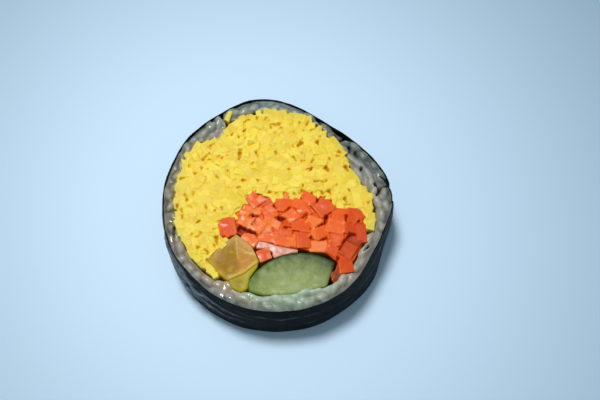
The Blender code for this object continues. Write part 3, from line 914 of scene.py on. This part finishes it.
# Each stick's place, width and depth in mm, its turn in degrees, how far its end lies below the cut in mm,
# and its tone, from dark and red at 0 to pale at 1
CARROT_STICKS = (
    (6.6, 0.8, 3.3, 2.0, -27, 0.05, 0.55), (6.0, -0.5, 2.2, 0.9, -30, 0.18, 0.95),
    (9.8, -1.6, 4.1, 4.1, 38, 0.0, 0.35), (13.3, -3.3, 3.3, 3.2, -8, 0.12, 0.5),
    (16.6, -3.6, 3.4, 3.4, -5, 0.06, 0.35), (16.7, -3.6, 3.1, 3.1, 40, 0.06, 0.35),
    (16.0, -6.3, 3.2, 3.0, -5, 0.16, 0.3), (18.0, -7.4, 2.0, 4.6, 8, 0.25, 0.25),
    (16.3, -9.4, 3.0, 2.5, -40, 0.3, 0.12), (15.0, -11.4, 3.2, 3.3, -30, 0.05, 0.2),
    (12.4, -5.9, 3.8, 3.5, -10, 0.06, 0.6), (12.4, -9.2, 3.5, 3.0, 5, 0.18, 0.45),
    (11.7, -11.5, 2.8, 2.2, -30, 0.25, 0.4), (9.6, -7.4, 2.7, 3.3, 12, 0.12, 0.5),
    (7.9, -8.0, 2.3, 2.0, -20, 0.2, 0.8), (7.6, -5.1, 3.1, 2.6, -30, 0.18, 0.85),
    (8.6, -10.6, 3.6, 2.6, 0, 0.36, 0.9), (5.5, -9.1, 2.9, 3.7, 5, 0.12, 0.4),
    (4.9, -5.7, 4.0, 3.0, -10, 0.12, 0.45), (5.3, -2.8, 3.3, 2.8, 40, 0.12, 0.5),
    (4.6, -0.9, 3.3, 2.3, -20, 0.18, 0.55), (14.4, -14.8, 3.1, 3.6, 12, 0.22, 0.3),
    (12.5, -17.0, 2.5, 2.4, 25, 0.7, 0.0), (-10.9, -6.1, 3.5, 4.3, 5, 0.04, 0.4),
    (-10.8, -6.3, 3.1, 4.1, 38, 0.04, 0.4), (-5.0, 0.3, 3.4, 3.4, 40, 0.05, 0.6),
    (-5.4, -2.4, 3.3, 1.8, -5, 0.25, 0.85), (-7.3, -3.0, 2.3, 1.4, -15, 0.2, 0.8),
    (-7.1, -4.9, 2.9, 2.5, -28, 0.08, 0.8), (-4.6, -5.7, 3.3, 3.4, -34, 0.08, 0.75),
    (-1.9, -2.7, 3.0, 3.2, 25, 0.08, 0.55), (-1.9, -0.4, 3.0, 2.2, -5, 0.28, 0.3),
    (1.1, -1.1, 3.6, 3.0, -5, 0.12, 0.5), (1.6, 0.9, 1.5, 1.4, 45, 0.1, 0.9),
    (2.7, -3.5, 3.0, 3.0, 42, 0.12, 0.6), (-0.7, -5.3, 2.6, 2.0, -22, 0.16, 0.9),
    (-2.5, -5.9, 2.2, 3.1, 10, 0.12, 0.8), (1.2, -6.8, 4.0, 2.4, -8, 0.18, 0.45),
    (-2.4, -8.4, 3.9, 2.4, -5, 0.3, 0.6), (1.1, -9.0, 3.3, 3.2, -10, 0.25, 0.6),
    (3.3, -9.2, 2.2, 2.9, 0, 0.3, 0.8), (-6.3, -7.4, 4.9, 1.7, -14, 0.5, 0.1),
    (-6.0, -8.9, 3.7, 2.3, -38, 0.3, 0.65), (-7.9, -6.4, 2.0, 2.4, 10, 0.5, 0.1),
    (13.5, -13.0, 2.2, 2.0, 20, 0.3, 0.4), (0.3, -4.2, 2.4, 2.0, 0, 0.4, 0.3),
    (14.4, -8.0, 2.0, 2.0, 40, 0.4, 0.25), (9.0, -4.0, 2.4, 2.0, -30, 0.3, 0.5),
)
# Slots between the sticks: from one end to the other in mm, and half the width at the first end
CARROT_SLOTS = (
    (-5.7, -3.35, -3.9, -3.8, 0.24), (-4.6, -4.0, -5.8, -5.9, 0.09), (-8.6, -6.4, -4.6, -7.6, 0.62),
    (0.0, -4.0, 1.0, -4.9, 0.42), (0.6, -4.1, 1.9, -4.3, 0.30), (2.7, -1.5, 1.4, -2.7, 0.16),
    (-1.0, -1.2, -0.4, -1.9, 0.14), (1.4, -6.1, 2.9, -6.3, 0.20), (6.4, -3.1, 5.1, -4.3, 0.20),
    (8.7, 0.4, 8.3, -0.6, 0.20), (10.5, -3.5, 10.0, -5.8, 0.30), (9.7, -5.4, 8.2, -6.2, 0.14),
    (14.8, -3.4, 14.7, -5.0, 0.24), (15.7, -7.7, 14.4, -9.2, 0.28), (14.4, -9.2, 13.1, -11.5, 0.18),
    (15.8, -7.7, 16.9, -7.9, 0.18), (10.6, -8.7, 9.2, -9.2, 0.16), (7.0, -8.4, 7.3, -8.7, 0.26),
    (17.7, -4.8, 17.4, -5.0, 0.18), (12.9, -13.0, 12.4, -14.4, 0.24), (-4.4, 1.7, -3.2, 1.3, 0.14),
)
# The stick that lies apart, given as the others are
LONE_STICK = (-2.8, -12.5, 2.9, 2.9, 20, 0.1, 0.4)
# The side of the bundle with a painted sheen, a pale pink haze of the lamp's reflection: it starts at the
# first place across in mm, and fades to the second
HAZE_MM = (-9.6, 4.0)


def carrot_bundle(name, sticks_mm, rng, core):
    """Copies of a few hand-cut sticks, each at its own place, size and turn, pressed together."""
    shapes = [cut_stick(f"carrot_stick_{number}", 0.05, rng) for number in range(4)]
    places = []
    for x, y, width, depth, turn, drop, tone in sticks_mm:
        slopes = rng.gauss(0, 0.03), rng.gauss(0, 0.03)
        place = standing(
            AXIS.x + x * MM, AXIS.y + y * MM, math.radians(turn), width * MM, depth * MM,
            CARROT_FLOOR + drop * 0.5 * MM, CARROT_TOP - drop * MM, *slopes)
        places.append((rng.randrange(len(shapes)), place, tone))
    bundle = copies([shape.data for shape in shapes], places, name)
    for shape in shapes:
        bpy.data.objects.remove(shape)
    fuse(bundle, core, CARROT_VOXEL, 3, 0.6)
    mark_relief(bundle, 0.08 * MM, 4)
    # A mask for the painted sheen over the left of the bundle
    haze = []
    for vertex in bundle.data.vertices:
        x = (vertex.co.x - AXIS.x) / MM
        haze.append(smooth_step((HAZE_MM[1] - x) / 10) * smooth_step((x - HAZE_MM[0]) / 1.2))
    spread_values(bundle, "haze", haze)
    pick(bundle)
    bpy.ops.object.shade_smooth()
    return bundle


carrot_finish, shader = new_material("boiled carrot")
# The tone ramp: its darkest red is partly painted shade on the sticks that lie deep, and its pale pink top
# is partly painted highlight on the sticks that catch the lamp
tone = ramp_of(carrot_finish, attribute(carrot_finish, "tone"), (
    (0.0, (0.16, 0.010, 0.002)), (0.25, (0.66, 0.054, 0.002)), (0.55, (0.87, 0.108, 0.003)),
    (0.8, (0.92, 0.17, 0.014)), (1.0, (0.90, 0.29, 0.10)),
))
tone = mixed(carrot_finish, patches(carrot_finish, 2.2, 0.45, 0.7), tone, (0.92, 0.155, 0.008), 0.35)
# Painted sheen: a pale pink laid in patches over the left of the bundle, for the lamp's reflection
hazy = mixed(carrot_finish, attribute(carrot_finish, "haze"), tone, (0.90, 0.40, 0.25))
tone = mixed(carrot_finish, patches(carrot_finish, 1.3, 0.48, 0.66), tone, hazy, 0.75)
tone = layered(carrot_finish, tone, (
    # Painted highlight, a paler orange along the sticks' edges, and painted shade, a darker red in the
    # hollows
    ("crest", (0.92, 0.24, 0.05), 0.45), ("hollow", (0.48, 0.03, 0.002), 0.5),
    # Painted shade: dark red in the slots between the sticks
    ("line", (0.30, 0.022, 0.006), 0.88),
))
finish(carrot_finish, shader, tone, 0.7, 0.35, 0.5, 0.025, (1, 1, 0.2))
wet = patches(carrot_finish, 1.5, 0.6, 0.76)
carrot_finish.node_tree.links.new(wet, shader.inputs["Coat Weight"])
shader.inputs["Coat Roughness"].default_value = 0.2
let_light_in(shader, 0.3, (1.0, 0.3, 0.1), 0.5, 0.12)

rng = random.Random(3)
carrots = carrot_bundle(
    "carrot_bundle", CARROT_STICKS, rng, lowered_copy("carrot_sticks", "carrot_core", CARROT_CORE_TOP))
work_lines(carrots, CARROT_SLOTS, 1.3 * MM)
lone = carrot_bundle("carrot_lone_stick", (LONE_STICK,), rng, None)
work_lines(lone, (), 0)
for piece, node in ((carrots, "carrot_sticks"), (lone, "carrot_stick_lone")):
    piece.data.materials.clear()
    piece.data.materials.append(carrot_finish)
    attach(piece, "root")
    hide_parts(node)


# The radish: yellow pickled radish cut into strips, soft and see-through with brine. The squared strip
# stands a little proud of the cut, and a narrower wedge lies against its lower side.
RADISH_OUTLINE_MM = (
    (-8.9, -7.8), (-5.5, -10.6), (-3.8, -14.2), (-7.2, -17.0), (-10.4, -18.4), (-13.0, -16.5),
    (-15.1, -13.6), (-12.3, -10.5),
)
WEDGE_OUTLINE_MM = (
    (-4.0, -14.1), (-7.2, -16.7), (-10.5, -18.1), (-9.5, -20.0), (-7.6, -20.9), (-6.2, -20.0),
    (-5.8, -17.6), (-4.3, -15.4),
)
# Pale raised veins: from one end to the other in mm, and half the width at the first end
RADISH_VEINS = (
    (-4.4, -12.4, -6.6, -12.2, 0.35), (-6.4, -12.2, -7.8, -11.2, 0.2), (-4.4, -14.1, -7.2, -16.5, 0.3),
    (-10.2, -17.6, -7.2, -16.4, 0.3), (-8.9, -8.8, -8.4, -13.5, 0.12),
)
VEIN_HEIGHT = 0.07 * MM
RADISH_TOP = 11.9 * MM
WEDGE_TOP = 11.75 * MM
EDGE_WIDTH_MM = 1.5
# The colours left and right of the line where the facets meet, and of the paler patches and the rim
RADISH_COLOURS = ((0.36, 0.175, 0.001), (0.53, 0.225, 0.012), (0.62, 0.39, 0.012))
WEDGE_COLOURS = ((0.29, 0.20, 0.002), (0.36, 0.26, 0.002), (0.54, 0.43, 0.015))


def slab(name, outline_mm, top):
    """A disc drawn out to an outline on the lower face, then extruded up to the top."""
    bpy.ops.object.select_all(action="DESELECT")
    bpy.ops.mesh.primitive_circle_add(vertices=len(outline_mm), fill_type="NGON")
    thing = named_primitive(name)
    for vertex, (x, y) in zip(thing.data.vertices, outline_mm):
        vertex.co = AXIS + Vector((x, y, 0)) * MM
    bpy.ops.object.mode_set(mode="EDIT")
    bpy.ops.mesh.select_all(action="SELECT")
    bpy.ops.mesh.extrude_region_move(TRANSFORM_OT_translate={"value": (0, 0, top)})
    bpy.ops.mesh.select_all(action="SELECT")
    bpy.ops.mesh.normals_make_consistent(inside=False)
    bpy.ops.object.mode_set(mode="OBJECT")
    return thing


def edge_distance(x, y, outline_mm):
    """How far a place is from an outline, in mm."""
    nearest = 1e9
    for index, here in enumerate(outline_mm):
        before = outline_mm[index - 1]
        side = (here[0] - before[0], here[1] - before[1])
        share = ((x - before[0]) * side[0] + (y - before[1]) * side[1]) / (side[0] ** 2 + side[1] ** 2)
        share = min(max(share, 0), 1)
        nearest = min(nearest, math.hypot(x - before[0] - share * side[0], y - before[1] - share * side[1]))
    return nearest


def carved_strip(name, outline_mm, top, rounding_mm, voxel_mm, relief):
    """A strip cut to its outline, its edges rounded, then worked over as one soft skin."""
    strip = slab(name, outline_mm, top)
    edges = strip.modifiers.new("soft edges", "BEVEL")
    edges.width = rounding_mm * MM
    edges.segments = 2
    edges.limit_method = "ANGLE"
    edges.angle_limit = math.radians(25)
    worked = strip.modifiers.new("skin", "REMESH")
    worked.mode = "VOXEL"
    worked.voxel_size = voxel_mm * MM
    smooth = strip.modifiers.new("smooth", "SMOOTH")
    smooth.iterations = 2
    apply_all(strip)
    rims = []
    for vertex in strip.data.vertices:
        x, y, z = (vertex.co - AXIS) / MM
        if z > 6:
            vertex.co.z += relief(x, y) * MM
        rims.append(max(0.0, 1 - edge_distance(x, y, outline_mm) / EDGE_WIDTH_MM))
    spread_values(strip, "rim", rims)
    bpy.ops.object.shade_smooth()
    return strip


def from_valley(x, y):
    """How far a place on the radish lies to the right of the line where its two facets meet, in mm."""
    return x + 8.7 + 0.15 * (y + 12)


def radish_relief(x, y):
    """Two flat facets that meet in a shallow valley, with soft waves of the knife on them."""
    valley = 0.03 * min(abs(from_valley(x, y)), 3.5)
    return valley - 0.12 + 0.07 * noise.noise(Vector((x / 1.9, y / 1.9, 0)))


radish = carved_strip("radish_square_strip", RADISH_OUTLINE_MM, RADISH_TOP, 0.2, 0.2, radish_relief)
wedge = carved_strip("radish_narrow_wedge", WEDGE_OUTLINE_MM, WEDGE_TOP, 0.2, 0.2, radish_relief)
for strip, node, veins, colours in (
    (radish, "radish_strip", RADISH_VEINS, RADISH_COLOURS),
    (wedge, "radish_wedge", (), WEDGE_COLOURS),
):
    flats = [(vertex.co - AXIS) / MM for vertex in strip.data.vertices]
    spread_values(strip, "facet", [from_valley(x, y) for x, y, _ in flats])
    spread_values(strip, "upper", [smooth_step((y + 14.5) / 4) for _, y, _ in flats])
    work_lines(strip, veins, -VEIN_HEIGHT)
    radish_finish, shader = new_material(strip.name + " pickled")
    facet = range_in(radish_finish.node_tree, attribute(radish_finish, "facet"), -0.6, 0.6)
    tone = mixed(radish_finish, facet, colours[0], colours[1])
    tone = mixed(radish_finish, patches(radish_finish, 1.4, 0.52, 0.72), tone, colours[2], 0.5)
    edge = mixed(radish_finish, attribute(radish_finish, "upper"), colours[2], (0.68, 0.40, 0.14))
    tone = layered(radish_finish, tone, (("rim", edge, 0.7), ("line", (0.72, 0.54, 0.17), 0.6)))
    finish(radish_finish, shader, tone, 1.6, 0.35, 0.5, 0.02)
    let_light_in(shader, 0.4, (1.0, 0.7, 0.2), 1.2, 0.12)
    strip.data.materials.append(radish_finish)
    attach(strip, "root")
    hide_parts(node)


# The cucumber: a strip from the outside of a cucumber, with the dark skin on one side and the seeds cut
# away on the other. Its flesh is pale and wet, and greener under the skin.
CUCUMBER_RADIUS_MM = 13.0
CUCUMBER_AXIS_MM = (5.0, -25.0)
CUCUMBER_SKIN_DEGREES = (151, 56)
CUCUMBER_SKIN_STEPS = 26
CUCUMBER_SEED_SIDE_MM = (
    (10.4, -19.4), (8.0, -20.3), (4.0, -21.2), (0.0, -21.5), (-3.0, -21.4), (-6.0, -20.7),
)
CUCUMBER_TOP = 11.75 * MM
# Speckles in the flesh: their size in mm, where they begin and are full, and their colour
CUCUMBER_SPECKLES = (
    (2.6, 0.35, 0.65, (0.32, 0.38, 0.12)), (0.6, 0.54, 0.72, (0.50, 0.55, 0.25)),
)
cucumber_outline = []
first_angle, last_angle = CUCUMBER_SKIN_DEGREES
for step in range(CUCUMBER_SKIN_STEPS + 1):
    share = step / CUCUMBER_SKIN_STEPS
    angle = math.radians(first_angle + (last_angle - first_angle) * share)
    cucumber_outline.append((
        CUCUMBER_AXIS_MM[0] + CUCUMBER_RADIUS_MM * math.cos(angle),
        CUCUMBER_AXIS_MM[1] + CUCUMBER_RADIUS_MM * math.sin(angle),
    ))
cucumber_outline.extend(CUCUMBER_SEED_SIDE_MM)


def cucumber_relief(x, y):
    return 0.07 * noise.noise(Vector((x / 2.5, y / 2.5, 4))) - 0.05


cucumber = carved_strip(
    "cucumber_skin_strip", cucumber_outline, CUCUMBER_TOP, 0.3, 0.2, cucumber_relief)
depths, ends = [], []
for vertex in cucumber.data.vertices:
    x, y, _ = (vertex.co - AXIS) / MM
    mottled = 0.8 * noise.noise(Vector((x / 0.8, y / 0.8, 1)))
    mottled += 0.6 * noise.noise(Vector((x / 1.9, y / 1.9, 2))) - 0.8 * smooth_step((x - 4) / 6)
    depth = CUCUMBER_RADIUS_MM - math.hypot(x - CUCUMBER_AXIS_MM[0], y - CUCUMBER_AXIS_MM[1])
    depths.append(depth + mottled)
    ends.append(smooth_step((2 - x) / 9))
spread_values(cucumber, "depth_mm", depths)
spread_values(cucumber, "end", ends)
cucumber_finish, shader = new_material("cucumber")
under_skin = range_in(cucumber_finish.node_tree, attribute(cucumber_finish, "depth_mm"), 0, 8)
tone = ramp_of(cucumber_finish, under_skin, (
    (0.0, (0.034, 0.058, 0.006)), (0.10, (0.070, 0.102, 0.011)), (0.20, (0.12, 0.16, 0.028)),
    (0.34, (0.17, 0.225, 0.052)), (0.7, (0.24, 0.30, 0.08)), (1.0, (0.26, 0.32, 0.09)),
))
end = mixed(cucumber_finish, under_skin, (0.10, 0.16, 0.008), (0.44, 0.49, 0.05))
tone = layered(cucumber_finish, tone, (("end", end, 0.85),))
for size, low, high, paler in CUCUMBER_SPECKLES:
    spots = patches(cucumber_finish, size, low, high)
    in_flesh = range_in(cucumber_finish.node_tree, spots, 0, 1, 0, under_skin)
    tone = mixed(cucumber_finish, in_flesh, tone, paler, 0.7)
finish(cucumber_finish, shader, tone, 1.2, 0.34, 0.5, 0.02)
let_light_in(shader, 0.25, (0.8, 1.0, 0.4), 0.4, 0.2)
cucumber.data.materials.append(cucumber_finish)
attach(cucumber, "root")
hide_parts("cucumber_strip")


# The ham: one thin sliver of a slice, pale and moist. It is squeezed between the carrot and the
# cucumber, bends round the lone stick, and has a paler rim.
HAM_OUTLINE_MM = (
    (-4.6, -8.8), (-2.0, -9.7), (0.0, -10.4), (2.2, -10.8), (4.4, -11.3), (4.3, -11.9), (2.8, -12.1),
    (1.0, -12.5), (-0.7, -13.2), (-1.1, -12.7), (-1.1, -11.9), (-2.5, -11.0), (-4.6, -11.0),
)
HAM_TOP = 11.5 * MM


def ham_relief(x, y):
    return 0.12 * noise.noise(Vector((x / 1.3, y / 1.3, 8)))


ham = carved_strip("ham_thin_sliver", HAM_OUTLINE_MM, HAM_TOP, 0.15, 0.15, ham_relief)
ham_finish, shader = new_material("ham")
tone = mixed(ham_finish, patches(ham_finish, 1.6), (0.60, 0.12, 0.065), (0.72, 0.29, 0.20))
# The paler rim is partly the ham's own pale edge and partly a painted highlight along it
tone = layered(ham_finish, tone, (("rim", (0.82, 0.50, 0.40), 0.45),))
finish(ham_finish, shader, tone, 1.0, 0.25, 0.4, 0.03)
let_light_in(shader, 0.3, (1.0, 0.4, 0.3), 0.6, 0.3)
ham.data.materials.append(ham_finish)
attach(ham, "root")
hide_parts("ham_sliver")


# The table: a plain pale board, painted a cool blue grey. It is one flat piece that reaches past the
# view on all sides.
bpy.ops.object.select_all(action="DESELECT")
bpy.ops.mesh.primitive_plane_add(size=1.2, location=(0, 0, 0))
table = named_primitive("table_top")
table_finish, shader = new_material("pale table")
shader.inputs["Base Color"].default_value = (0.62, 0.805, 1.0, 1)
shader.inputs["Roughness"].default_value = 0.6
table.data.materials.append(table_finish)
table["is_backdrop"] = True

# The light: one soft lamp hung high on the left behind the slice. Its cone fades towards the corners of
# the view, and a pale surround fills the shadows.
bpy.ops.object.light_add(type="SPOT", location=(-0.095, 0.15, 0.50))
lamp = bpy.context.object
lamp.data.energy = 14.1
lamp.data.shadow_soft_size = 0.09
lamp.data.spot_size = math.radians(20.2)
lamp.data.spot_blend = 0.8
lamp.data.color = (1.0, 0.99, 0.97)
lamp.rotation_euler = (Vector((-0.006, 0.003, 0)) - lamp.location).to_track_quat("-Z", "Y").to_euler()
surround = bpy.data.worlds.new("pale surround")
surround.use_nodes = True
surround.node_tree.nodes["Background"].inputs["Color"].default_value = (0.72, 0.93, 1.0, 1)
surround.node_tree.nodes["Background"].inputs["Strength"].default_value = 0.32
bpy.context.scene.world = surround
bpy.context.scene.view_settings.view_transform = "Standard"

# The camera: it looks steeply down on the upper cut face from the cucumber's side, so that the near
# wall shows under the rim.
CAMERA_ELEVATION = math.radians(67)
CAMERA_DISTANCE = 215 * MM
aim = AXIS + Vector((4.78 * MM, 0.02 * MM, 12.0 * MM))
back = Vector((0, -math.cos(CAMERA_ELEVATION), math.sin(CAMERA_ELEVATION)))
bpy.ops.object.camera_add(location=aim + back * CAMERA_DISTANCE)
camera = bpy.context.object
camera.rotation_euler = (-back).to_track_quat("-Z", "Y").to_euler()
camera.data.sensor_width = 36
camera.data.lens = 59.3
camera.data.clip_start = 0.01
bpy.context.scene.camera = camera

low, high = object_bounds()
